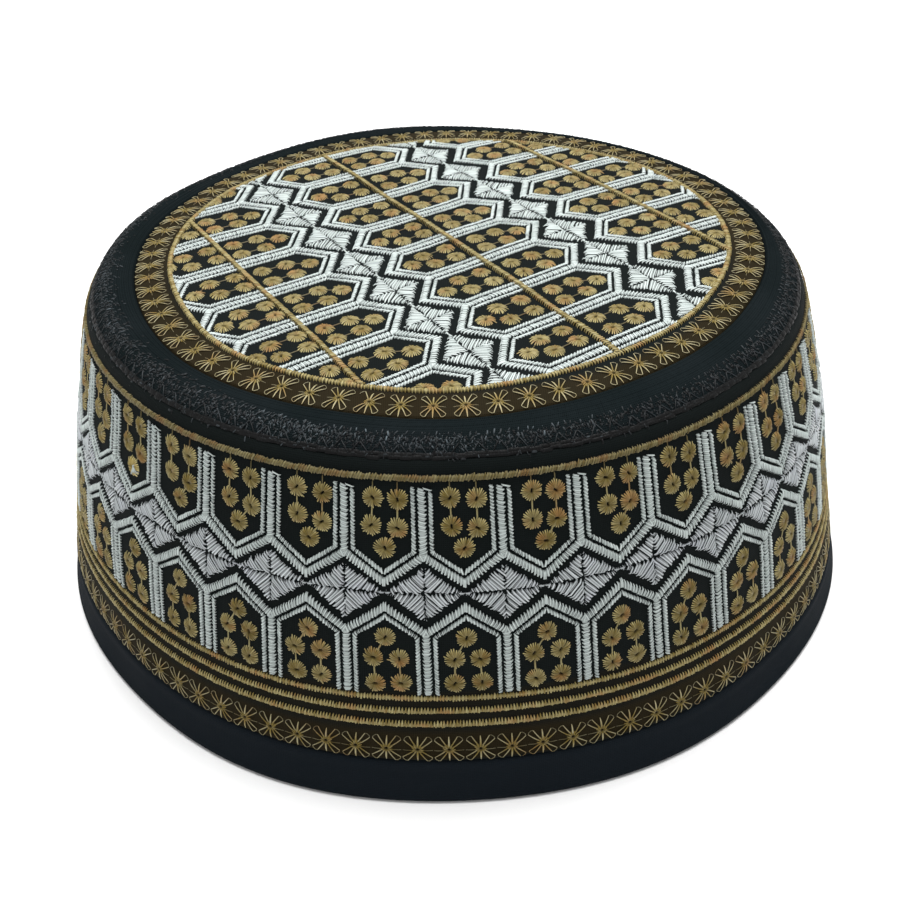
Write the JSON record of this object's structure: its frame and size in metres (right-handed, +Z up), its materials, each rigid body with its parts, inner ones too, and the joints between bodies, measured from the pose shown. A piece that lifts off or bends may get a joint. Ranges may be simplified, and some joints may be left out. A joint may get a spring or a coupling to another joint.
{
  "type": "kufi cap",
  "caption": "Brimless round cap with a flat crown, rolled black shoulder, flared embroidered side band and plain hem.",
  "frame": {"origin": "centre of the rim, at the height of the surface the cap stands on", "axes": "+Z up through the middle of the crown, -Y towards the side seen in the picture, +X to its right"},
  "size_m": [0.1904, 0.1904, 0.0743],
  "materials": {
    "crown_cloth": "black woven cloth",
    "roll_cloth": "black stitched cloth with a soft sheen",
    "band_cloth": "black woven cloth",
    "hem_cloth": "plain black cloth",
    "white_thread": "satin embroidery thread",
    "gold_thread": "satin embroidery thread"
  },
  "bodies": {
    "root": {"crown_panel": "crown_cloth", "shoulder_roll": "roll_cloth", "side_band": "band_cloth", "hem_band": "hem_cloth"}
  },
  "joints": []
}
